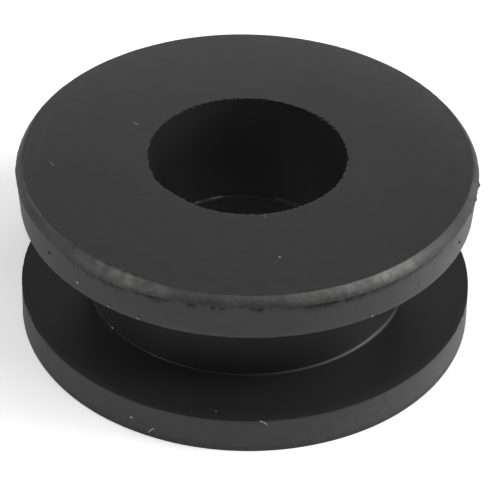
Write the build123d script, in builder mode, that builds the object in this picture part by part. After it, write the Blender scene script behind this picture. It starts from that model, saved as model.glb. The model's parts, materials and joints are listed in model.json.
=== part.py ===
from build123d import *

import os
from math import cos, pi, radians, sin, tan

# Exhaust rubber mount: a one-piece moulded rubber reel, pushed into a hole in a bracket plate.
# Origin at the centre of the lower face on the bore's axis, +Z up the bore. Sizes in millimetres.

# Heights, measured along the bore
lower_flange_thickness = 2.5
groove_width = 6.6
upper_flange_thickness = 3.06
shoulder_height = 0.57
core_line_height = 3.86

# Radii about the bore's axis
bore_radius = 6.5
neck_radius = 10.65
flange_radius = 15.0
shoulder_width = 0.42
lower_flange_overhang = 0.1

# Draft of the two rims, in degrees, so that each leaves its half of the mould
upper_rim_draft = 3.6
lower_rim_draft = 1.3

# Rounded groove roots, the crown of the bevelled shoulder, and the break along the other edges
groove_root_radius = 0.35
shoulder_crown_radius = 1.1
edge_break = 0.12

# Flash left where the mould halves meet, round the foot of the shoulder
flash_thickness = 0.14
flash_reach = 0.09
flash_ripple = 0.022
flash_waves = (7, 13, 23)
flash_points = 93

# Bead left inside the bore, where the two core pins meet
core_bead_width = 0.56
core_bead_rise = 0.12

# How far the flash and the bead run into the body that carries them
weld_depth = 0.3

# Heights and radii that follow from the sizes above
groove_floor = lower_flange_thickness
groove_ceiling = groove_floor + groove_width
total_height = groove_ceiling + upper_flange_thickness
parting_height = total_height - shoulder_height
upper_rim_height = parting_height - groove_ceiling
upper_rim_foot_radius = flange_radius - upper_rim_height * tan(radians(upper_rim_draft))
lower_flange_radius = flange_radius + lower_flange_overhang
lower_rim_top_radius = lower_flange_radius - lower_flange_thickness * tan(radians(lower_rim_draft))
top_face_radius = flange_radius - shoulder_width


def flash_edge(turn):
    """A point on the ragged outer edge of the flash, at a share of a full turn."""
    angle = 2 * pi * turn
    ripple = sum(sin(waves * angle + waves) for waves in flash_waves)
    radius = flange_radius + flash_reach + flash_ripple * ripple
    return radius * cos(angle), radius * sin(angle)


with BuildPart() as rubber_mount:
    # Half of the section through the bore's axis, turned into the reel
    with BuildSketch(Plane.XZ) as half_section:
        with BuildLine():
            Polyline(
                (top_face_radius, total_height),
                (bore_radius, total_height),
                (bore_radius, 0),
                (lower_flange_radius, 0),
                (lower_rim_top_radius, groove_floor),
                (neck_radius, groove_floor),
                (neck_radius, groove_ceiling),
                (upper_rim_foot_radius, groove_ceiling),
                (flange_radius, parting_height),
            )
            RadiusArc(
                (flange_radius, parting_height),
                (top_face_radius, total_height),
                -shoulder_crown_radius,
            )
        make_face()

        corners = half_section.vertices()
        groove_roots = corners.filter_by(lambda v: abs(v.X - neck_radius) < 0.001)
        fillet(groove_roots, groove_root_radius)

        corners = half_section.vertices()
        bore_mouths = corners.filter_by(lambda v: abs(v.X - bore_radius) < 0.001)
        chamfer(bore_mouths, edge_break)

        corners = half_section.vertices()
        rim_corners = corners.filter_by(
            lambda v: v.X > upper_rim_foot_radius - 0.001 and v.Y < groove_ceiling + 0.001
        )
        chamfer(rim_corners, edge_break)
    revolve(axis=Axis.Z)

    # Flash: a thin fin all round the foot of the shoulder, with an uneven torn edge
    with BuildSketch(Plane.XY.offset(parting_height - flash_thickness / 2)):
        with BuildLine():
            Spline([flash_edge(n / flash_points) for n in range(flash_points)], periodic=True)
        make_face()
        Circle(flange_radius - weld_depth, mode=Mode.SUBTRACT)
    extrude(amount=flash_thickness)

    # Core line: a low rounded bead round the bore
    with BuildSketch(Plane.XZ):
        with BuildLine():
            Polyline(
                (bore_radius, core_line_height - core_bead_width / 2),
                (bore_radius + weld_depth, core_line_height - core_bead_width / 2),
                (bore_radius + weld_depth, core_line_height + core_bead_width / 2),
                (bore_radius, core_line_height + core_bead_width / 2),
            )
            ThreePointArc(
                (bore_radius, core_line_height + core_bead_width / 2),
                (bore_radius - core_bead_rise, core_line_height),
                (bore_radius, core_line_height - core_bead_width / 2),
            )
        make_face()
    revolve(axis=Axis.Z)

rubber_mount.part.label = "rubber_mount"
os.makedirs("parts", exist_ok=True)
export_step(rubber_mount.part, "parts/rubber_mount.step")

print(f"height {total_height:.2f}, widest radius {flange_radius:.2f}, bore {2 * bore_radius:.2f}")
print(f"volume {rubber_mount.part.volume:.1f} mm3, solids {len(rubber_mount.part.solids())}")
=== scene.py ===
# %% [markdown]
# # An exhaust rubber mount
#
# A moulded rubber reel that hangs an exhaust from its bracket: two round flanges, a groove between
# them that takes the edge of a plate, and a plain bore for a sleeve or a bolt. What makes it look
# like the real thing is not its outline, which any lathe could turn, but what moulding and trimming
# left on it: a torn lip where the mould's halves met, a scuffed bevel above that lip, a fine matt
# grain, a grey bloom, and a little dust. This lesson builds those, one at a time.
#
# We start from the imported model. It is the truth for every size and place, so we load it and
# build around it without ever moving it.

import json
import math

import bmesh
import bpy
import numpy as np
from mathutils import Matrix, Vector, noise


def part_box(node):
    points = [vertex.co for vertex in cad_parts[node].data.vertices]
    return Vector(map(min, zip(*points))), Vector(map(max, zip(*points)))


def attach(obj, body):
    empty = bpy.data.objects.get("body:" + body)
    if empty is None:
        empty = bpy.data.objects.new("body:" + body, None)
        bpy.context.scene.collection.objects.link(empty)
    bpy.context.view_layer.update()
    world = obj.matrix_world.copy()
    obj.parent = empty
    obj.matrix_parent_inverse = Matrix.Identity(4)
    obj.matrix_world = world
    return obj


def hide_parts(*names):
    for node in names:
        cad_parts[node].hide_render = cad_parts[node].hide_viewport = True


MM = 0.001

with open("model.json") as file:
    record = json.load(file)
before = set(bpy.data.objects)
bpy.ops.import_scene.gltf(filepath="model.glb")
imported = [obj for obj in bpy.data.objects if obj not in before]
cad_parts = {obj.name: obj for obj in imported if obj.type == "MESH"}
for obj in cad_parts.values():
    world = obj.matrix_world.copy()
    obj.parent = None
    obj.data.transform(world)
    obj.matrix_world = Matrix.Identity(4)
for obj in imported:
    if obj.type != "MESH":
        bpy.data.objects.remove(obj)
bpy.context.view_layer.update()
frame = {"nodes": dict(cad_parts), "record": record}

# %% [markdown]
# The dressed reel needs the reel's own dimensions. Typing them in again would give us two truths,
# so we measure them. Every corner of the solid's section is a ring of vertices in its mesh, and a
# ring is found by asking for the widest or narrowest vertices within a range of heights.

# %% Measure the reel
# A ring's vertices agree within a hair, near an edge takes in its chamfer, and clear is past a wall
hair = 0.01 * MM
near = 0.3 * MM
clear = 1 * MM

corners = np.array([vertex.co for vertex in frame["nodes"]["rubber_mount"].data.vertices])
radii = np.hypot(corners[:, 0], corners[:, 1])
heights = corners[:, 2]

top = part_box("rubber_mount")[1].z
mounts = {mount["name"]: mount for mount in frame["record"]["mounts"]}
bore_radius = mounts["bore"]["dims"]["r_mm"] * MM

upper_half = heights > top / 2
neck_radius = radii[radii > bore_radius + clear].min()
beyond_neck = radii > neck_radius + clear
groove_floor = heights[beyond_neck & ~upper_half].max()
groove_ceiling = heights[beyond_neck & upper_half].min()
face_radius = radii[heights > top - hair].max()
flash_radius = radii[upper_half].max()
parting_height = heights[upper_half & (radii > flash_radius - 10 * hair)].mean()
foot_radius = radii[beyond_neck & upper_half & (heights < groove_ceiling + near)].max()
brim_radius = radii[beyond_neck & (abs(heights - groove_floor) < near)].max()
base_radius = radii[heights < near].max()
bead = radii < bore_radius - hair
bead_height = heights[bead].mean()
bead_radius = radii[bead].min()

measured = {
    "top": top, "bore": bore_radius, "neck": neck_radius, "face": face_radius, "flash": flash_radius,
    "parting line": parting_height, "foot": foot_radius, "brim": brim_radius, "base": base_radius,
    "groove floor": groove_floor, "groove ceiling": groove_ceiling,
    "bead": bead_radius, "bead height": bead_height,
}
for name, size in measured.items():
    print(f"{name}: {size / MM:.2f} mm")

# %% [markdown]
# ## The camera
#
# A product photograph of a small part is taken from well back with a long lens, so that the two
# flanges come out almost the same size. Ours stands 142 mm away and looks down at 38 degrees. The
# slight roll, about a degree, is the photographer's hand. `to_track_quat` aims the camera, and the
# roll is a turn about its own axis after that. Lens and film keep the camera's own millimetres. The
# Standard view transform shows each colour as it is written, so what we choose is what we see.

# %% Set the camera
view_distance = 142.5 * MM
view_elevation = math.radians(37.84)
view_roll = math.radians(1.22)
aim = Vector((-0.11, -0.97, 5.04)) * MM
focal_length = 154.2
film_width = 36

back = Vector((0, -math.cos(view_elevation), math.sin(view_elevation)))
camera = bpy.data.objects.new("camera", bpy.data.cameras.new("camera"))
camera.data.lens = focal_length
camera.data.sensor_width = film_width
camera.data.clip_start = 10 * MM
looking = (-back).to_track_quat("-Z", "Y").to_matrix().to_4x4()
camera.matrix_world = (Matrix.Translation(aim + view_distance * back) @ looking
                       @ Matrix.Rotation(view_roll, 4, "Z"))
bpy.context.scene.collection.objects.link(camera)
bpy.context.scene.camera = camera
bpy.context.scene.view_settings.view_transform = "Standard"
print("camera at", [round(value / MM, 1) for value in camera.matrix_world.translation])

# %% [markdown]
# ## The floor
#
# The mount stands on plain white paper. Paper reflects about four fifths of the light that falls on
# it, and that is the value other surfaces should see, because black rubber shows what surrounds it.
# The photograph is exposed for the rubber, so there the paper is clipped to white. We lift it for
# the camera alone, with Light Path's Is Camera Ray: a whiter colour and a faint glow turn the paper
# white, its shadow stays, and no more light falls on the rubber. There is no metal or glass here that
# would mirror the white, so no other kind of ray needs the lift.

# %% Lay the floor
floor_half_width = 250 * MM
floor_reflectance = 0.8
camera_reflectance = 1.0
floor_lift = 0.27

paper = bpy.data.materials.new("white_paper")
paper.use_nodes = True
tree = paper.node_tree
shader = tree.nodes["Principled BSDF"]
shader.inputs["Roughness"].default_value = 0.9
shader.inputs["Specular IOR Level"].default_value = 0.1
shader.inputs["Emission Color"].default_value = (1, 1, 1, 1)
path = tree.nodes.new("ShaderNodeLightPath")
lift = tree.nodes.new("ShaderNodeMath")
lift.operation = "MULTIPLY"
lift.inputs[1].default_value = floor_lift
tree.links.new(path.outputs["Is Camera Ray"], lift.inputs[0])
tree.links.new(lift.outputs["Value"], shader.inputs["Emission Strength"])
reflectance = tree.nodes.new("ShaderNodeMapRange")
reflectance.inputs["To Min"].default_value = floor_reflectance
reflectance.inputs["To Max"].default_value = camera_reflectance
tree.links.new(path.outputs["Is Camera Ray"], reflectance.inputs["Value"])
tree.links.new(reflectance.outputs["Result"], shader.inputs["Base Color"])

floor_mesh = bpy.data.meshes.new("floor")
floor_mesh.from_pydata([(x * floor_half_width, y * floor_half_width, 0)
                        for x, y in ((-1, -1), (1, -1), (1, 1), (-1, 1))], [], [(0, 1, 2, 3)])
floor_mesh.materials.append(paper)
floor = bpy.data.objects.new("floor", floor_mesh)
bpy.context.scene.collection.objects.link(floor)
print("floor", 2 * floor_half_width, "m wide")

# %% [markdown]
# ## The light
#
# Soft light comes from large sources, so the room is a few wide panels round the mount and one
# high over the camera. A panel's power is worked out from its `share`: a share of 1 lights a surface
# that faces the panel so that its colour renders as written. A flat surface gets about 1 from all of
# them together, which keeps the exposure plain. The tall panel at the right, with a smaller one
# beside it, is the window of this room, and the left has a third of that. Straight ahead it is dark
# up to head height, as it is when the photographer stands there: so the middle of the mount's front
# is the darkest part of its rims. The low panel at the back does more than its share says, because
# its light skims the top face towards the camera and sets how grey that face looks. Besides the
# panels the world gives a little even light, and only the camera sees it as white.

# %% Light the room
world_strength = 0.05
panel_distance = 300 * MM
panel_side = 120 * MM

world = bpy.data.worlds.new("pale_room")
world.use_nodes = True
background = world.node_tree.nodes["Background"]
world_path = world.node_tree.nodes.new("ShaderNodeLightPath")
brightness = world.node_tree.nodes.new("ShaderNodeMapRange")
brightness.inputs["To Min"].default_value = world_strength
brightness.inputs["To Max"].default_value = 1
world.node_tree.links.new(world_path.outputs["Is Camera Ray"], brightness.inputs["Value"])
world.node_tree.links.new(brightness.outputs["Result"], background.inputs["Strength"])
background.inputs["Color"].default_value = (1, 1, 1, 1)
bpy.context.scene.world = world


def panel(name, azimuth, elevation, share, height=panel_side):
    """A soft light on a sphere round the mount. Azimuth 0 is the camera's side, 90 the right."""
    turn = math.radians(azimuth)
    rise = math.radians(elevation)
    level = math.cos(rise)
    towards = Vector((math.sin(turn) * level, -math.cos(turn) * level, math.sin(rise)))
    light = bpy.data.lights.new(name, "AREA")
    light.shape = "RECTANGLE"
    light.size = panel_side
    light.size_y = height
    light.energy = share * (math.pi * panel_distance) ** 2
    lamp = bpy.data.objects.new(name, light)
    lamp.rotation_euler = towards.to_track_quat("Z", "Y").to_euler()
    lamp.location = panel_distance * towards + Vector((0, 0, top / 2))
    bpy.context.scene.collection.objects.link(lamp)
    print(f"{name}: {light.energy:.3f} W")


panel("right_panel", 86, 26, 0.64, height=210 * MM)
panel("right_front_panel", 57, 49, 0.27)
panel("left_panel", -58, 30, 0.23)
panel("left_low_panel", -85, 12, 0.07)
panel("top_panel", 0, 65, 0.18)
panel("right_back_panel", 120, 35, 0.12)
panel("left_back_panel", -120, 35, 0.19)
panel("back_panel", 180, 16, 0.08)

# %% [markdown]
# ## Uneven rounds
#
# Nothing on a moulded and hand-trimmed part is even, and every unevenness here runs round the reel,
# so it has to meet itself after a full turn. The way to get that from ordinary noise is to walk
# round a circle inside the noise: the circle closes, so the values do too. A circle whose length is
# `lumps` units crosses about that many lumps. Where one certain tear or nick is wanted at a certain
# place, `bump_at` gives a smooth bump there instead.
#
# The smallest tears are half a millimetre wide, so the points of a ring stand closer together at the
# front, where the camera looks, and wider apart behind.

# %% Two helpers for unevenness
segments = 900
front_crowding = 0.35
even_turns = np.linspace(-math.pi, math.pi, segments, endpoint=False)
azimuths = even_turns - front_crowding * np.sin(even_turns)
sines = np.sin(azimuths)
cosines = np.cos(azimuths)

# How much each finer layer of the noise adds, how much finer it is, and how many layers there are
increment = 0.7
lacunarity = 2.0
octaves = 4


def wander(lumps, seed):
    """A value from about -1 to 1 for each azimuth, with about that many lumps in a turn."""
    reach = lumps / (2 * math.pi)
    spots = zip(reach * sines, reach * cosines)
    return np.array([noise.fractal((x, y, seed), increment, lacunarity, octaves) for x, y in spots])


def bump_at(degrees, half_width, flatness=1.0):
    """1 at one azimuth, falling to 0 half a width to each side. A flatness over 1 levels its top."""
    away = (np.degrees(azimuths) - degrees + 180) % 360 - 180
    return np.clip(flatness * (1 - (away / half_width) ** 2), 0, 1) ** 1.5


print("a wander of 60 lumps spans", np.round([wander(60, 1).min(), wander(60, 1).max()], 2))

# %% [markdown]
# ## The torn lip
#
# Rubber squeezed out where the two halves of the mould met, all round the foot of the bevel. The
# flash was torn off by hand, which never comes away clean: what stays is a thin lip that stands
# proud by a tenth of a millimetre here and hangs down over the rim there, and casts the small dark
# shadows that run under the bevel in the photograph.
#
# A displacement texture could roughen that edge, but a lip that overhangs needs real shape, because
# its shadow comes from the overhang. So the lip gets three numbers for each azimuth: how far it
# stands proud of the rim, how far it hangs below the parting line, and how deep a tear has bitten
# into the rim just under it. All three wander. The larger tears are listed in degrees round from
# the front, with more scattered over the back, which no photograph shows.

# %% Tear the rim under the lip
# Under the long tears at the left and the right, the lip's shadow is also painted on as darker shade
# further down.
# Where each large tear is, half its width in degrees, and its height under the lip in millimetres
front_tears = (
    (-44, 5.0, 0.24), (-38, 6.0, 0.31), (-32, 5.0, 0.33), (-25.2, 1.8, 0.20), (-21.2, 4.8, 0.32),
    (-12.2, 1.7, 0.28), (-9.6, 1.2, 0.12), (-7.2, 1.0, 0.26), (-5.1, 1.2, 0.21),
    (1.8, 1.1, 0.18), (3.5, 1.3, 0.27), (5.8, 0.9, 0.12), (11, 3.0, 0.14),
    (18, 6.5, 0.32), (26, 5.0, 0.28), (34, 7.0, 0.23), (43, 5.0, 0.19), (51, 5.0, 0.15),
    (58, 3.0, 0.12), (66, 2.0, 0.14),
)
back_tear_count = 26
chance = np.random.default_rng(11)
back_tears = tuple((chance.uniform(75, 310), chance.uniform(1.5, 5), chance.uniform(0.12, 0.28))
                   for tear in range(back_tear_count))

# The long tears at the left and the right have a smoother edge than the small ones between them
raggedness = 0.45 - 0.3 * bump_at(30, 30) - 0.33 * bump_at(-37, 16)
ragged = 1 + raggedness * np.clip(wander(190, 8.0), -1, 0.6)
bite_height = 0.05 + 0.05 * np.clip(wander(50, 2.0), 0, 1)
for degrees, half_width, reach in front_tears + back_tears:
    bite_height = np.maximum(bite_height, reach * ragged * bump_at(degrees, half_width, 1.25))
bite_height = bite_height * MM

# A tear lower than a dent leaves no hollow, and one as high as a whole tear takes the lip's root too
dent = 0.06 * MM
whole_tear = 0.16 * MM
bite_depth = (0.5 - 0.2 * bump_at(-37, 20)) * np.clip(bite_height - dent, 0, 1)
torn_share = np.clip(bite_height / whole_tear - 0.3, 0, 1)
print(f"tears up to {bite_height.max() / MM:.2f} mm high and {bite_depth.max() / MM:.2f} mm deep")

# %% Hang the lip over the tears
lip_thickness = (0.07 + 0.05 * bump_at(-38, 16) + 0.07 * bump_at(30, 28)) * MM

# Where the lip hangs lowest, half the width of that stretch in degrees, and how far it hangs in mm
hanging = ((-33, 16, 0.12), (28, 26, 0.09), (130, 30, 0.08), (200, 25, 0.1), (265, 30, 0.08))
hang = 0.015 + 0.015 * wander(50, 2.0) + 0.012 * wander(260, 5.0)
for degrees, half_width, reach in hanging:
    hang = hang + reach * bump_at(degrees, half_width)
hang = hang * MM

# The nubs that stand out furthest: three seen against the floor at the right, one at the left edge,
# and the long flap over the tears at the left
nubs = ((82, 1.0, 0.11), (76, 1.2, 0.08), (71, 1.0, 0.07), (-84, 2.0, 0.03),
        (-38.5, 4.5, 0.07), (-31, 4.5, 0.08), (-22, 5, 0.03))
least_proud = 0.008 * MM
most_proud = 0.14 * MM
proud = (0.02 + 0.012 * wander(45, 3.0) + 0.012 * wander(240, 6.0)) * MM
for degrees, half_width, reach in nubs:
    proud = proud + reach * MM * bump_at(degrees, half_width)
proud = np.clip(proud, least_proud, most_proud)
print(f"the lip hangs up to {hang.max() / MM:.2f} mm and stands up to {proud.max() / MM:.2f} mm proud")

# %% [markdown]
# ## The section
#
# The reel is a turned form, so it is built as one: a section of stations, each of which becomes a
# ring. A lathe or screw modifier would turn one fixed section. Here a station may have a different
# radius and height at each azimuth, which is how the lip, the bevel and the mouth of the bore get
# their unevenness, so each station is a pair of arrays, and the rings are joined up by hand.
#
# The section goes once round: out over the top face, down the bevel and the lip, down the rim,
# in under the flange, down the neck, out over the lower flange, down and in under the base, and up
# the bore. Each station belongs to a zone, and the zones later say where each finish goes.

# %% Three ways to add stations
stations = []


def add(zone, radius, height):
    """One station of the section. Radius and height may be a number or a value for each azimuth."""
    stations.append((zone, np.broadcast_to(radius, segments), np.broadcast_to(height, segments)))


def run(zone, start, end, steps):
    """Stations on a straight line, from the start up to but not including the end."""
    for n in range(steps):
        share = n / steps
        add(zone, start[0] + (end[0] - start[0]) * share, start[1] + (end[1] - start[1]) * share)


def turn_corner(zone, centre, radius, first, last, steps):
    """Stations on an arc round a centre, between two angles in degrees, both included."""
    for n in range(steps + 1):
        angle = np.radians(first + (last - first) * n / steps)
        add(zone, centre[0] + radius * np.cos(angle), centre[1] + radius * np.sin(angle))


print("stations so far:", len(stations))

# %% [markdown]
# From the bore's mouth outwards, the first uneven edge is the mouth itself, which was trimmed by hand
# and is nicked. The next is the bevel's upper edge. Between them the top face has to stay flat, and
# smooth shading would carry the edges' unevenness into it as streaks. A flat ring close beside each
# edge stops that, and the same is done beside every uneven edge that follows.

# %% Draw the face and the bevel's upper edge
sharp_round = 0.02 * MM
keep_flat = 0.08 * MM

mouth_nicks = ((-128, 9, 0.03), (-146, 6, 0.02), (-62, 13, 0.11), (-42, 8, -0.08))
nicked = 0.03 * wander(24, 4.0) + 0.06 * wander(90, 9.0) + 0.08 * wander(240, 3.0)
nicked = nicked + 0.10 * wander(130, 21.0) * (bump_at(-80, 60) + bump_at(125, 50))
for degrees, half_width, reach in mouth_nicks:
    nicked = nicked + reach * bump_at(degrees, half_width)
mouth_radius = bore_radius + nicked * MM

# The bevel's upper edge wavers, and at the left the trimming cut deeper and left a softer edge
deeper_cut = bump_at(-32, 19)
crest_cut = 0.012 * wander(30, 7.0) + (0.01 + 0.09 * deeper_cut) * wander(110, 2.5) + 0.12 * deeper_cut
crest_radius = face_radius - crest_cut * MM
crest_round = (0.03 + 0.09 * deeper_cut) * MM

add("face", mouth_radius + sharp_round, top)
run("face", (mouth_radius + keep_flat, top), (crest_radius - crest_round - keep_flat, top), 6)
add("face", crest_radius - crest_round - keep_flat, top)
add("face", crest_radius - crest_round, top)
turn_corner("crest", (crest_radius - crest_round, top - crest_round), crest_round, 90, 40, 2)
print(len(stations), "stations down to the bevel")

# %% [markdown]
# The bevel is a slightly swollen slope that ends in the lip, and the lip is a small arc. Over a tear
# the arc goes on round to the underside of the lip, so that the bite starts behind it. Where nothing
# was torn it stops early and runs straight into the rim.

# %% Draw the bevel, the lip and the bites
bevel_steps = 17

# How far the bevel swells in its middle, and the share of that which goes outwards and upwards
crown = 0.05 * MM
crown_out = 0.8
crown_up = 0.6

# The rim leans in towards its foot, by the draft that let it out of the mould
rim_draft = math.radians(3.6)
rim_slope = math.tan(rim_draft)
rim_top_radius = foot_radius + (parting_height - groove_ceiling) * rim_slope
lip_radius = rim_top_radius + proud - lip_thickness / 2
lip_height = parting_height - hang

# From the end of the crest's arc to the start of the lip's
bevel_start = (crest_radius - 0.23 * crest_round, top - 0.36 * crest_round)
bevel_end = (lip_radius + lip_thickness / 4, lip_height + 0.43 * lip_thickness)
for n in range(1, bevel_steps):
    share = n / bevel_steps
    bulge = 4 * crown * share * (1 - share)
    add("bevel", bevel_start[0] + (bevel_end[0] - bevel_start[0]) * share + crown_out * bulge,
        bevel_start[1] + (bevel_end[1] - bevel_start[1]) * share + crown_up * bulge)
turn_corner("lip", (lip_radius, lip_height), lip_thickness / 2, 55, -15 - 65 * torn_share, 4)

# How deep a bite is at each share of its height, deepest just under the lip
bite_profile = ((0, 0.75), (0.17, 1), (0.4, 0.8), (0.65, 0.45), (0.88, 0.15), (1.15, 0))
bite_top = lip_height - (0.35 + 0.25 * torn_share) * lip_thickness
for share, depth in bite_profile:
    height = bite_top - share * bite_height
    add("bite", rim_top_radius - rim_slope * (parting_height - height) - depth * bite_depth, height)
print(len(stations), "stations down to the rim")

# %% [markdown]
# The rest of the outside is plain: straight runs with rounded corners. The lower edge of the upper
# rim wavers a little, the upper edge of the lower flange has small nicks, and a ring just above the
# base will carry a darker band, partly the dirt that a standing part picks up from below and partly
# painted contact shadow.

# %% Draw the upper rim and the groove
# The root of the groove is roundest at the front right
edge_round = 0.05 * MM
root_round = (0.03 + 0.05 * bump_at(-27, 15) + 0.24 * bump_at(50, 75)) * MM

rim_start = bite_top - bite_profile[-1][0] * bite_height - 0.06 * MM
run("rim", (rim_top_radius - rim_slope * (parting_height - rim_start), rim_start),
    (foot_radius, groove_ceiling + 2 * edge_round), 8)
foot_rise = 0.02 * wander(150, 31.0) + 0.02 * np.clip(wander(60, 33.0), 0, 1)
foot_edge = groove_ceiling + edge_round + foot_rise * MM
turn_corner("foot", (foot_radius - edge_round, foot_edge), edge_round, 0, -90, 3)
add("under", foot_radius - 2 * edge_round, groove_ceiling)
run("under", (foot_radius - 4 * edge_round, groove_ceiling),
    (neck_radius + root_round, groove_ceiling), 2)
turn_corner("root", (neck_radius + root_round, groove_ceiling - root_round), root_round, 90, 180, 3)
run("neck", (neck_radius, groove_ceiling - 2 * root_round), (neck_radius, groove_floor + root_round), 2)
turn_corner("root", (neck_radius + root_round, groove_floor + root_round), root_round, 180, 270, 6)
print(len(stations), "stations down to the groove's floor")

# %% Draw the lower flange and the base
heel_round = 0.07 * MM

# Lumps and nicks along the lower flange's upper edge
brim_lumps = ((-75, 1.0, 0.05), (-70, 3.0, -0.05), (-64, 2.5, 0.04), (-58, 3.0, -0.04),
              (67, 1.6, 0.04), (74, 1.2, 0.03))
brim_cut = 0.012 * wander(60, 12.0) + 0.03 * np.clip(wander(90, 13.0) - 0.1, 0, 1)
for degrees, half_width, reach in brim_lumps:
    brim_cut = brim_cut - reach * bump_at(degrees, half_width)
brim_edge = brim_radius - brim_cut * MM
run("ledge", (neck_radius + 2 * root_round, groove_floor), (brim_edge - sharp_round, groove_floor), 4)
turn_corner("brim", (brim_edge - sharp_round, groove_floor - sharp_round), sharp_round, 90, 0, 2)

side_top = groove_floor - 3 * edge_round
dirt_and_shade_height = 0.24 * MM
side_lean = (base_radius - brim_radius) / (side_top - heel_round)
run("side", (brim_radius, side_top), (base_radius, heel_round), 5)
# A darker ring just above the base: partly dirt from the floor, partly painted contact shadow
add("soiled", base_radius - side_lean * (dirt_and_shade_height - heel_round), dirt_and_shade_height)
turn_corner("heel", (base_radius - heel_round, heel_round), heel_round, 0, -90, 3)
run("base", (base_radius - 2 * heel_round, 0), (bore_radius + edge_round, 0), 2)
turn_corner("mouth", (bore_radius + edge_round, edge_round), edge_round, 270, 180, 2)
print(len(stations), "stations down to the base and in to the bore")

# %% [markdown]
# Inside the bore there is one thing to see: the bead, a fine ridge where the two core pins of the
# mould met. Its rise varies round the bore, so that it catches the light in some places only, and
# at its two lit ends it is also painted greyer, as a painted highlight.

# %% Draw the bore
bead_half_width = 0.14 * MM
bead_rise = (bore_radius - bead_radius) * (0.8 + 0.3 * wander(24, 16.5))
ridge_height = bead_height + bead_half_width
run("bore", (bore_radius, 3 * edge_round), (bore_radius, ridge_height - 1.5 * bead_half_width), 2)
add("bore", bore_radius, ridge_height - 1.5 * bead_half_width)
for share in np.linspace(-1, 1, 5):
    swell = bead_rise * (1 - share ** 2)
    add("bead", bore_radius - swell, ridge_height + share * bead_half_width)
run("bore", (bore_radius, ridge_height + 2 * bead_half_width), (bore_radius, top - 5 * edge_round), 3)
add("bore", bore_radius, top - 4 * edge_round)
add("bore", bore_radius, top - 3 * edge_round)
add("bore", mouth_radius, top - keep_flat)
turn_corner("mouth", (mouth_radius + sharp_round, top - sharp_round), sharp_round, 180, 120, 2)
print(len(stations), "stations,", 2 * len(stations) * segments, "triangles")

# %% [markdown]
# ## Rough where it was torn, nearly smooth where it was moulded
#
# The bevel is trimmed rubber: torn, scuffed and pitted at a scale of a third of a millimetre. The
# moulded faces are smooth, with a slow waviness that only shows in how light slides over them. Both
# are moves of each point along the section's own normal, so the amount is set per zone.

# %% Turn the section into a mesh
roughness_of = {"bevel": 0.012 * MM, "lip": 0.012 * MM, "bite": 0.015 * MM, "crest": 0.004 * MM}
pit_size = 0.35 * MM
pit_increment = 0.6
pit_octaves = 3
deep_cut_pits = 2.5
waviness = 0.012 * MM
wave_length = 5 * MM

# The section's normal at each station, from the stations on both sides of it
ring_radius = np.array([radius for zone, radius, height in stations])
ring_height = np.array([height for zone, radius, height in stations])
along_radius = np.roll(ring_radius, -1, axis=0) - np.roll(ring_radius, 1, axis=0)
along_height = np.roll(ring_height, -1, axis=0) - np.roll(ring_height, 1, axis=0)
length = np.hypot(along_radius, along_height)
out_radius = -along_height / length
out_height = along_radius / length

points = []
for row, (zone, radius, height) in enumerate(stations):
    rough = roughness_of.get(zone, 0)
    for column in range(segments):
        x = radius[column] * sines[column]
        y = -radius[column] * cosines[column]
        place = Vector((x, y, height[column]))
        move = waviness * noise.noise(place / wave_length)
        if rough:
            lumpy = 1 + deep_cut_pits * deeper_cut[column]
            pits = noise.fractal(place / pit_size, pit_increment, lacunarity, pit_octaves)
            move = move + rough * lumpy * pits
        r = radius[column] + move * out_radius[row, column]
        z = max(0, height[column] + move * out_height[row, column])
        points.append((r * sines[column], -r * cosines[column], z))
print(len(points), "points")

# %% Join the points into faces
crease_angle = math.radians(50)
ring_count = len(stations)
faces = []
for row in range(ring_count):
    below = (row + 1) % ring_count
    for column in range(segments):
        beside = (column + 1) % segments
        faces.append((row * segments + column, below * segments + column,
                      below * segments + beside, row * segments + beside))

reel_mesh = bpy.data.meshes.new("moulded_reel")
reel_mesh.from_pydata(points, [], faces)
reel_mesh.shade_smooth()
reel_mesh.set_sharp_from_angle(angle=crease_angle)
reel = bpy.data.objects.new("moulded_reel", reel_mesh)
bpy.context.scene.collection.objects.link(reel)
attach(reel, "root")
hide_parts("rubber_mount")
print(len(points), "points and", len(faces), "faces in the reel")

# %% [markdown]
# ## Where it is worn, and where light and shade are painted
#
# Hands, the floor and a year on a shelf reach the outside of the mount and not its groove or its
# bore. So the rims and faces are greyer, the groove stays black, and a fresh tear is blackest. The
# lowest edge is darker, partly from whatever is on the floor and partly as painted contact shadow,
# and the bevel is scuffed in stretches that are partly painted highlight. The same value also paints
# light and shade: the right side greyer where the light from the right falls, shade under the lip, a
# lighter back to the top face, and light on the bead's ends and the bore's upper back. That is a value
# for each point of the mesh, written as an attribute that the materials read. Painting it on an image
# would tie it to a map of the surface; here the zones of the section already say where everything is.

# %% Say how worn each zone is and where light and shade are painted
# Where the bevel is scuffed, and at the front left and right also painted lighter as a highlight, half
# the width of that stretch in degrees, and how much greyer it gets
scuff_and_sheen_marks = (
    (-78, 11, 0.08), (-62, 12, -0.05), (-46, 5, -0.04), (-37, 2.5, 0.24), (-33, 13, 0.12),
    (-32.3, 2.6, 0.30), (-28.3, 2.2, 0.36), (-23, 9, 0.20), (-5, 18, 0.02),
    (16, 14, 0.18), (31, 14, 0.45), (35.5, 2, 0.25), (40, 10, 0.35), (42.5, 2.2, 0.25),
    (56, 13, -0.16), (76, 14, 0.16), (118, 25, 0.3), (170, 14, 0.4), (215, 30, 0.2), (262, 12, 0.3),
)
scuff_and_sheen = 0.09 + 0.05 * wander(9, 14.0) + 0.12 * wander(70, 15.0)
for degrees, half_width, strength in scuff_and_sheen_marks:
    scuff_and_sheen = scuff_and_sheen + strength * bump_at(degrees, half_width)
scuff_and_sheen = np.clip(scuff_and_sheen, 0.02, 1)

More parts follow.
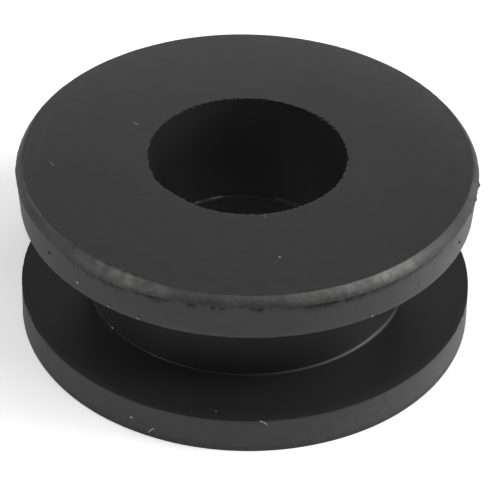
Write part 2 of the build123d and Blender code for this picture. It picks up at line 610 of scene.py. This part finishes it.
# Painted light: the rims and the side are painted greyer towards the right, where the light from the
# right falls on them, over a wider stretch on the upper rim than on the lower one
right_painted_light = bump_at(100, 90)
rim_painted_light = bump_at(98, 62)
side_painted_light = bump_at(98, 55)
side_marks = 0.05 * bump_at(-45, 14) + 0.06 * bump_at(-68, 5) - 0.14 * bump_at(-61, 2.5)
# Painted highlight: the bead is painted greyer at its two ends, where it catches the light
bead_painted_highlights = bump_at(152, 14, 1.5) + 0.6 * bump_at(205, 13, 1.5)

# A zone that isn't named here is clean black rubber
wear_and_light_of = {
    "crest": 0.5 * scuff_and_sheen,
    "lip": 0.3 * scuff_and_sheen,
    "rim": 0.15 + 0.17 * right_painted_light + 0.88 * rim_painted_light,
    "foot": 0.21 + 0.2 * right_painted_light + 0.7 * rim_painted_light,
    "side": 0.20 + 0.22 * right_painted_light + 0.55 * side_painted_light + side_marks,
    # Partly dirt and partly painted contact shadow
    "soiled": 0.16 * np.clip(0.5 + 1.2 * wander(150, 41.0), 0, 1),
    "base": 0.14,
    "bead": 0.42 * bead_painted_highlights,
}
print("wear from", round(float(scuff_and_sheen.min()), 2), "to", round(float(scuff_and_sheen.max()), 2), "along the bevel")

# %% Write the attribute of wear and painted light
# The lip's shade is painted on: under the lip at the left and the right the bites and the first ring of
# the rim are painted darker, on top of the lip's own shadow, and a deeper, fresher tear is blacker. The
# bevel is painted darker towards the lip, as shade, the top face lighter towards its back edge, as a
# painted reflection, and a little painted light falls into the upper back of the bore.
first_of_rim = [zone for zone, radius, height in stations].index("rim")
bore_painted_light_end = 8.2 * MM
bore_painted_light_fade = 3 * MM
painted_lip_shade = bump_at(30, 34, 1.6) + bump_at(-35, 20, 1.6)
face_back_reflection = bump_at(155, 100)
face_corner_reflection = bump_at(-115, 55) + bump_at(122, 45)

wear_and_light_values = []
for row, (zone, radius, height) in enumerate(stations):
    value = wear_and_light_of.get(zone, 0.0) * np.ones(segments)
    if zone == "bevel":
        down = (top - height) / (top - parting_height)
        # Painted shade: the bevel is darker towards the lip
        value = scuff_and_sheen * np.clip(1.15 - 0.8 * down ** 3, 0.2, 1.15)
    if zone == "bite" or row == first_of_rim:
        # Painted shade under the lip, with deeper, fresher tears blacker
        value = wear_and_light_of["rim"] * (1 - painted_lip_shade) * np.clip(1.3 - bite_height / whole_tear, 0.3, 1)
    if zone == "bore":
        # Painted light: the upper back of the bore is painted a little lighter
        value = 0.05 * bump_at(-162, 45) * np.clip((height - bore_painted_light_end) / bore_painted_light_fade, 0, 1)
    if zone == "face":
        out = (radius - bore_radius) / (face_radius - bore_radius)
        # Painted reflection: the face is lighter towards its back edge and back corners, and a touch
        # darker near the bore at the back
        value = 0.12 + 0.12 * face_back_reflection * out ** 2 - 0.03 * face_back_reflection + 0.14 * face_corner_reflection * out ** 4
    wear_and_light_values.append(value)
wear_and_painted_light = reel_mesh.attributes.new("wear_and_painted_light", "FLOAT", "POINT")
wear_and_painted_light.data.foreach_set("value", np.concatenate(wear_and_light_values).astype(np.float32))
print("wear written for", len(wear_and_light_values), "rings")

# %% [markdown]
# ## Shared effects
#
# Moulded rubber and torn rubber are the same black compound under different wear, so their materials
# draw on the same three effects, each built once as a node group: a fine grain, a grey bloom, and
# specks of dust. A group here puts out only a height, a colour or a mask. The shader stays in the
# material, where its constants can be read and changed.
#
# Four small helpers keep the groups short: an empty group with its sockets, a maths node, a noise
# whose lumps have a size in millimetres, and a soft threshold.

# %% Helpers for the effect groups


def new_group(name, inputs, outputs):
    """An empty shader group with named sockets, and its input and output nodes."""
    group = bpy.data.node_groups.new(name, "ShaderNodeTree")
    for label, kind, value in inputs:
        socket = group.interface.new_socket(label, in_out="INPUT", socket_type=kind)
        socket.default_value = value
    for label, kind in outputs:
        group.interface.new_socket(label, in_out="OUTPUT", socket_type=kind)
    return group, group.nodes.new("NodeGroupInput"), group.nodes.new("NodeGroupOutput")


def maths(group, operation, first, second):
    """A maths node on two sockets or numbers, which gives its own output socket."""
    node = group.nodes.new("ShaderNodeMath")
    node.operation = operation
    for socket, value in zip(node.inputs, (first, second)):
        if isinstance(value, (int, float)):
            socket.default_value = value
        else:
            group.links.new(value, socket)
    return node.outputs["Value"]


def noise_texture(group, size_socket, detail, roughness):
    """Noise in the mount's own space, with lumps of a size in millimetres."""
    place = group.nodes.new("ShaderNodeTexCoord")
    texture = group.nodes.new("ShaderNodeTexNoise")
    texture.inputs["Detail"].default_value = detail
    texture.inputs["Roughness"].default_value = roughness
    group.links.new(place.outputs["Object"], texture.inputs["Vector"])
    group.links.new(maths(group, "DIVIDE", 1 / MM, size_socket), texture.inputs["Scale"])
    return texture.outputs["Fac"]


def fade(group, value, low, high):
    """0 below the low value, 1 above the high one, and smooth between them."""
    node = group.nodes.new("ShaderNodeMapRange")
    node.interpolation_type = "SMOOTHSTEP"
    for label, amount in (("From Min", low), ("From Max", high)):
        if isinstance(amount, (int, float)):
            node.inputs[label].default_value = amount
        else:
            group.links.new(amount, node.inputs[label])
    group.links.new(value, node.inputs["Value"])
    return node.outputs["Result"]


print("helpers ready")

# %% [markdown]
# The grain is what the mould's surface left on the rubber: fine lumps a fraction of a millimetre
# across, on a slower swell. It is far too fine for the mesh, so it is a height for a Bump node.

# %% Build the grain
grain, grain_in, grain_out = new_group(
    "moulded_grain",
    [("Grain size", "NodeSocketFloat", 0.2), ("Lump size", "NodeSocketFloat", 1.5),
     ("Lumps", "NodeSocketFloat", 0.4)],
    [("Height", "NodeSocketFloat")])
fine = noise_texture(grain, grain_in.outputs["Grain size"], 3, 0.6)
coarse = noise_texture(grain, grain_in.outputs["Lump size"], 2, 0.5)
lumps = maths(grain, "MULTIPLY", coarse, grain_in.outputs["Lumps"])
grain.links.new(maths(grain, "ADD", fine, lumps), grain_out.inputs["Height"])
print("built", grain.name)

# %% [markdown]
# The bloom is wax that has come out to the surface and dried grey. It lies in soft patches, as thick
# as the attribute of wear and painted light says. That attribute also holds painted light and shade,
# so the group paints those as more or less grey as well. The group gives the mixed colour, and how
# much is covered, because wax is also less shiny than the rubber under it.

# %% Build the bloom
bloom, bloom_in, bloom_out = new_group(
    "grey_bloom_and_painted_light",
    [("Rubber", "NodeSocketColor", (0.03, 0.03, 0.03, 1)),
     ("Bloom", "NodeSocketColor", (0.1, 0.1, 0.1, 1)),
     ("Unevenness", "NodeSocketFloat", 0.5), ("Patch size", "NodeSocketFloat", 1.0)],
    [("Color", "NodeSocketColor"), ("Cover", "NodeSocketFloat")])
wear_and_light_reader = bloom.nodes.new("ShaderNodeAttribute")
wear_and_light_reader.attribute_name = "wear_and_painted_light"
patches = fade(bloom, noise_texture(bloom, bloom_in.outputs["Patch size"], 4, 0.6), 0.3, 0.7)
bare = maths(bloom, "SUBTRACT", 1.0, patches)
gap = maths(bloom, "MULTIPLY", bare, bloom_in.outputs["Unevenness"])
cover = maths(bloom, "MULTIPLY", maths(bloom, "SUBTRACT", 1.0, gap), wear_and_light_reader.outputs["Fac"])
tint = bloom.nodes.new("ShaderNodeMix")
tint.data_type = "RGBA"
bloom.links.new(cover, tint.inputs["Factor"])
bloom.links.new(bloom_in.outputs["Rubber"], tint.inputs["A"])
bloom.links.new(bloom_in.outputs["Bloom"], tint.inputs["B"])
bloom.links.new(tint.outputs["Result"], bloom_out.inputs["Color"])
bloom.links.new(cover, bloom_out.inputs["Cover"])
print("built", bloom.name)

# %% [markdown]
# The specks are the finest dust, too small and too many to place by hand. They are the peaks of a
# fine noise: only what rises above `Rarity` shows, so a higher rarity leaves fewer of them.

# %% Build the specks
speck_edge = 0.06
specks, specks_in, specks_out = new_group(
    "dust_specks",
    [("Speck size", "NodeSocketFloat", 0.1), ("Rarity", "NodeSocketFloat", 0.7)],
    [("Mask", "NodeSocketFloat")])
raw = noise_texture(specks, specks_in.outputs["Speck size"], 1, 0.4)
limit = maths(specks, "ADD", specks_in.outputs["Rarity"], speck_edge)
specks.links.new(fade(specks, raw, specks_in.outputs["Rarity"], limit), specks_out.inputs["Mask"])
print("effect groups:", [group.name for group in bpy.data.node_groups])

# %% [markdown]
# ## Three finishes of one rubber
#
# Moulded rubber is near black and matt, with a grain that the mould's own spark-eroded surface left
# on it. Torn and scuffed rubber is greyer, because its surface is full of tiny raised edges that
# catch the light and hold the bloom. In the groove and the bore, where no hand wiped the oils off
# and no light dried them, it is blacker still, partly from that and partly as painted shade for these
# deep recesses. One function makes all three, and the numbers tell them apart.

# %% Make the rubber finishes
rubber_colour = frame["record"]["materials"][0]["base_color"]
speck_colour = (0.2, 0.2, 0.19, 1)
matting = 0.2


def rubber(name, darkness, bloom_colour, unevenness, patch, roughness, grain_size, grain_depth, rarity):
    """A finish of the mount's black rubber. Under the bloom it is rougher by the matting."""
    material = bpy.data.materials.new(name)
    material.use_nodes = True
    tree = material.node_tree
    shader = tree.nodes["Principled BSDF"]

    grain_node = tree.nodes.new("ShaderNodeGroup")
    grain_node.node_tree = grain
    grain_node.inputs["Grain size"].default_value = grain_size
    bump = tree.nodes.new("ShaderNodeBump")
    bump.inputs["Distance"].default_value = grain_depth
    tree.links.new(grain_node.outputs["Height"], bump.inputs["Height"])
    tree.links.new(bump.outputs["Normal"], shader.inputs["Normal"])

    bloom_node = tree.nodes.new("ShaderNodeGroup")
    bloom_node.node_tree = bloom
    bloom_node.inputs["Rubber"].default_value = [darkness * value for value in rubber_colour] + [1]
    bloom_node.inputs["Bloom"].default_value = (*bloom_colour, 1)
    bloom_node.inputs["Unevenness"].default_value = unevenness
    bloom_node.inputs["Patch size"].default_value = patch

    speck_node = tree.nodes.new("ShaderNodeGroup")
    speck_node.node_tree = specks
    speck_node.inputs["Rarity"].default_value = rarity
    dusted = tree.nodes.new("ShaderNodeMix")
    dusted.data_type = "RGBA"
    dusted.inputs["B"].default_value = speck_colour
    tree.links.new(speck_node.outputs["Mask"], dusted.inputs["Factor"])
    tree.links.new(bloom_node.outputs["Color"], dusted.inputs["A"])
    tree.links.new(dusted.outputs["Result"], shader.inputs["Base Color"])

    matt = tree.nodes.new("ShaderNodeMapRange")
    matt.inputs["To Min"].default_value = roughness
    matt.inputs["To Max"].default_value = min(1, roughness + matting)
    tree.links.new(bloom_node.outputs["Cover"], matt.inputs["Value"])
    tree.links.new(matt.outputs["Result"], shader.inputs["Roughness"])
    return material


moulded = rubber("moulded_rubber", darkness=0.43, bloom_colour=(0.12, 0.12, 0.117), unevenness=0.4,
                 patch=0.7, roughness=0.4, grain_size=0.16, grain_depth=0.006 * MM, rarity=0.84)
torn = rubber("torn_rubber", darkness=0.6, bloom_colour=(0.2, 0.2, 0.19), unevenness=0.6,
              patch=0.6, roughness=0.5, grain_size=0.12, grain_depth=0.01 * MM, rarity=0.84)
# The inner finish is darker partly as painted shade in the groove and the bore
inner_and_painted_shade = rubber("inner_rubber_and_painted_shade", darkness=0.37, bloom_colour=(0.12, 0.12, 0.117), unevenness=0.5,
               patch=0.7, roughness=0.45, grain_size=0.16, grain_depth=0.006 * MM, rarity=0.88)
print("finishes:", moulded.name, torn.name, inner_and_painted_shade.name)

# %% Give each zone its finish
finishes = (moulded, torn, inner_and_painted_shade)
finish_of = {"bevel": torn, "lip": torn, "mouth": inner_and_painted_shade, "bore": inner_and_painted_shade, "bead": inner_and_painted_shade,
             "under": inner_and_painted_shade, "root": inner_and_painted_shade, "neck": inner_and_painted_shade, "ledge": inner_and_painted_shade}
for finish in finishes:
    reel_mesh.materials.append(finish)
for face in reel_mesh.polygons:
    zone = stations[face.index // segments][0]
    face.material_index = finishes.index(finish_of.get(zone, moulded))
print(len(finish_of), "zones have a finish of their own, and the others are plain moulded rubber")

# %% [markdown]
# ## Dust and lint
#
# A black part on white paper shows every speck, and nearly thirty of them here are large: grains of
# dust, short fibres, black crumbs of its own torn rubber, and grey tags of it that hang on along the
# lower edge of the upper rim. They are too few for a texture, and each has a place of its own, so each
# is put down one by one. We name an azimuth and either a height or a radius, and a ray cast at the reel
# finds the surface there. A grain, a tag or a crumb is a squashed ball with its centre just above the
# surface, and a fibre is a thin bent tube, so that all are closed and touch what they lie on.

# %% Find a place on the reel
# How far from the axis a ray towards a wall starts, in millimetres
outside = 30

# A ray finds the new reel only once the scene has taken it in
bpy.context.view_layer.update()


def on_wall(degrees, height):
    """Where a ray from outside meets the reel at this azimuth and height, and the surface's normal."""
    turn = math.radians(degrees)
    outward = Vector((math.sin(turn), -math.cos(turn), 0))
    start = outward * outside * MM + Vector((0, 0, height * MM))
    found, place, normal, face = reel.ray_cast(start, -outward)
    return place, normal


def on_flat(degrees, radius, start_height):
    """The same for a ray straight down, at this azimuth and radius, from a height above the floor."""
    turn = math.radians(degrees)
    start = Vector((radius * math.sin(turn), -radius * math.cos(turn), start_height)) * MM
    found, place, normal, face = reel.ray_cast(start, Vector((0, 0, -1)))
    return place, normal


print("a place on the face:", [round(value / MM, 2) for value in on_flat(10.8, 11.0, 20)[0]])

# %% Say where the dust lies
# The heights in millimetres from which a ray looks down at the top face and at the groove's floor
above_face = 20
above_ledge = 8

# The place and the radius in millimetres of each pale grain
grains = (
    (*on_flat(10.8, 11.0, above_face), 0.07), (*on_flat(9.7, 6.75, above_face), 0.05),
    (*on_wall(-43.7, 9.85), 0.11), (*on_wall(-53.3, 2.56), 0.12), (*on_wall(-27.6, 1.11), 0.10),
    (*on_wall(150, 10.2), 0.07), (*on_wall(216, 1.5), 0.06), (*on_flat(240, 13.0, above_ledge), 0.06),
)
# The same of each grey tag
tags = (
    (*on_wall(-25.7, 9.28), 0.13), (*on_wall(-34, 9.30), 0.11), (*on_wall(31.5, 9.25), 0.12),
    (*on_flat(-6.6, 14.28, above_ledge), 0.06), (*on_wall(46.7, 9.80), 0.12),
    (*on_wall(54, 9.32), 0.08), (*on_wall(60, 9.30), 0.08),
    (*on_wall(120, 9.30), 0.10), (*on_wall(190, 9.28), 0.10), (*on_wall(250, 9.30), 0.08),
)
# The same of each black crumb
crumbs = (
    (*on_wall(-54.8, 10.45), 0.09), (*on_wall(64.1, 10.34), 0.10), (*on_wall(178, 10.0), 0.08),
    (*on_flat(36, 13.9, above_ledge), 0.07),
)
# A fibre's place, its direction on the surface in degrees from level, its length, bend and radius
fibres = (
    (*on_flat(-113, 8.1, above_face), -25, 0.45, 0.5, 0.025),
    (*on_flat(-83, 12.7, above_face), -60, 0.5, 0.4, 0.018),
    (*on_wall(-22.3, 0.62), 52, 0.62, 0.1, 0.05), (*on_wall(5.1, 2.42), -38, 0.68, 0.15, 0.027),
    (*on_wall(142, 1.4), 15, 0.6, 0.4, 0.02), (*on_wall(228, 9.9), 70, 0.6, 0.3, 0.02),
)
print(len(grains), "grains,", len(tags), "tags,", len(crumbs), "crumbs and", len(fibres), "fibres")

# %% Lay the grains, tags and crumbs
lump_squash = (1, 0.8, 0.6, 1)
lump_lift = 0.2

dust_mesh = bpy.data.meshes.new("dust_and_lint")
dust_builder = bmesh.new()
for finish_number, lumps in enumerate((grains, tags, crumbs)):
    for place, normal, radius in lumps:
        squash = Matrix.Diagonal(lump_squash)
        lie = normal.to_track_quat("Z", "Y").to_matrix().to_4x4()
        sunk = Matrix.Translation(place + normal * radius * lump_lift * MM)
        ball = bmesh.ops.create_icosphere(
            dust_builder, subdivisions=2, radius=radius * MM, matrix=sunk @ lie @ squash)
        for face in {face for corner in ball["verts"] for face in corner.link_faces}:
            face.material_index = finish_number
print(len(dust_builder.faces), "faces of dust")

# %% Lay the fibres
fibre_rings = 9
fibre_sides = 6
fibre_taper = 0.6
fibre_lift = 0.7
fibre_turns = [2 * math.pi * side / fibre_sides for side in range(fibre_sides)]

for place, normal, degrees, length, bend, radius in fibres:
    lies_flat = abs(normal.z) > 0.9
    level = Vector((1, 0, 0)) if lies_flat else normal.cross(Vector((0, 0, 1)))
    along = Matrix.Rotation(math.radians(degrees), 3, normal) @ level.normalized()
    aside = normal.cross(along)
    rings = []
    for n in range(fibre_rings):
        share = 2 * n / (fibre_rings - 1) - 1
        thickness = radius * MM * (1 - fibre_taper * share ** 4)
        curve = along * share / 2 + aside * bend * share ** 2 / 2
        centre = place + MM * (length * curve + fibre_lift * radius * normal)
        spokes = [math.cos(turn) * aside + math.sin(turn) * normal for turn in fibre_turns]
        rings.append([dust_builder.verts.new(centre + thickness * spoke) for spoke in spokes])
    for ring, following in zip(rings, rings[1:]):
        for side in range(fibre_sides):
            beside = (side + 1) % fibre_sides
            dust_builder.faces.new((ring[side], ring[beside], following[beside], following[side]))
    dust_builder.faces.new(rings[0][::-1])
    dust_builder.faces.new(rings[-1])
bmesh.ops.recalc_face_normals(dust_builder, faces=dust_builder.faces)
dust_builder.to_mesh(dust_mesh)
dust_builder.free()
dust_mesh.shade_smooth()

dust = bpy.data.objects.new("dust_and_lint", dust_mesh)
bpy.context.scene.collection.objects.link(dust)
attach(dust, "root")
print(len(dust_mesh.polygons), "faces of dust and lint")

# %% [markdown]
# Dust is pale, but never white: a grain is a clump of fibres and skin with shadows of its own. A tag
# of rubber is stretched and torn grey, and a crumb of it stays black. The colour of each wanders
# between a dark and a pale grey on the same fine grain as the rubber has.

# %% Colour the dust


def clump(name, dark, pale):
    """A rough, uneven finish between two grey levels."""
    material = bpy.data.materials.new(name)
    material.use_nodes = True
    tree = material.node_tree
    shader = tree.nodes["Principled BSDF"]
    shader.inputs["Roughness"].default_value = 0.9
    shader.inputs["Specular IOR Level"].default_value = 0.2
    grain_node = tree.nodes.new("ShaderNodeGroup")
    grain_node.node_tree = grain
    grain_node.inputs["Grain size"].default_value = 0.03
    mix = tree.nodes.new("ShaderNodeMix")
    mix.data_type = "RGBA"
    mix.inputs["A"].default_value = (dark, dark, 0.97 * dark, 1)
    mix.inputs["B"].default_value = (pale, pale, 0.95 * pale, 1)
    tree.links.new(grain_node.outputs["Height"], mix.inputs["Factor"])
    tree.links.new(mix.outputs["Result"], shader.inputs["Base Color"])
    return material


pale_dust = clump("pale_dust", dark=0.12, pale=0.42)
rubber_tag = clump("rubber_tag", dark=0.08, pale=0.21)
rubber_crumb = clump("rubber_crumb", dark=0.01, pale=0.02)
for finish in (pale_dust, rubber_tag, rubber_crumb):
    dust_mesh.materials.append(finish)
print("dust finishes:", [finish.name for finish in dust_mesh.materials])
